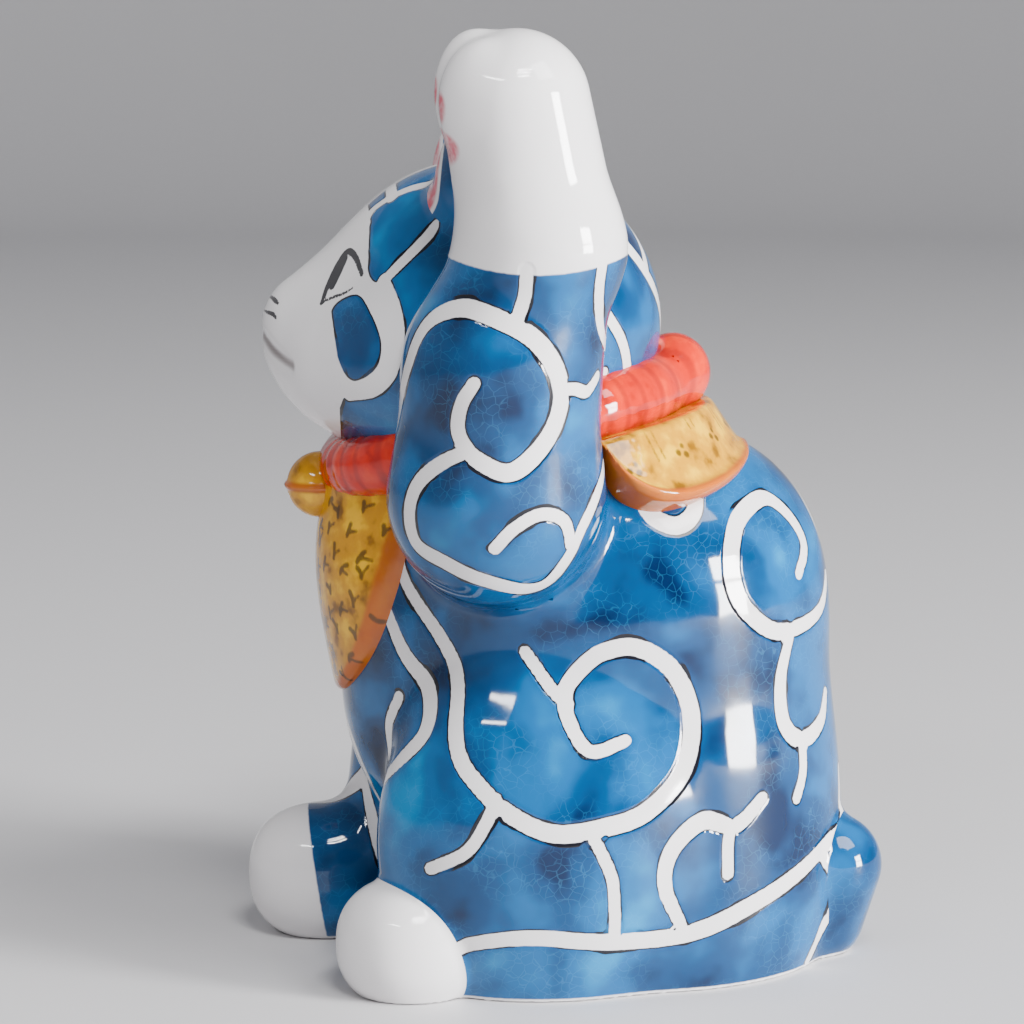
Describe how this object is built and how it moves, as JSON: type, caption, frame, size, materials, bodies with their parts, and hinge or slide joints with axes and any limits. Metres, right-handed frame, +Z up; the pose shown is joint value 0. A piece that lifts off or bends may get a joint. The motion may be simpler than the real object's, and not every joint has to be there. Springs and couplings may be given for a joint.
{
  "type": "ceramic cat figurine",
  "caption": "Glazed porcelain beckoning cat, left paw raised, blue with white scrolling vines, red collar, gold bib and bell.",
  "frame": {"origin": "on the table, under the neck, in the plane the cat's body is symmetric about", "axes": "+Z up, the cat faces -Y, its left side is +X"},
  "size_m": [0.0681, 0.0812, 0.118],
  "materials": {
    "blue_glaze": "gloss",
    "white_glaze": "gloss",
    "bare_porcelain": "matte",
    "red_enamel": "gloss",
    "gold_enamel": "gloss"
  },
  "bodies": {
    "root": {"body_shell": "blue_glaze", "head_shell": "blue_glaze", "left_ear": "blue_glaze", "right_ear": "blue_glaze", "raised_left_arm": "blue_glaze", "right_foreleg": "blue_glaze", "tail": "blue_glaze", "left_hind_foot": "white_glaze", "right_hind_foot": "white_glaze", "base_plate": "bare_porcelain", "collar_band": "red_enamel", "collar_knot": "red_enamel", "back_bib": "gold_enamel", "front_bib": "gold_enamel", "bell": "gold_enamel"}
  },
  "joints": []
}
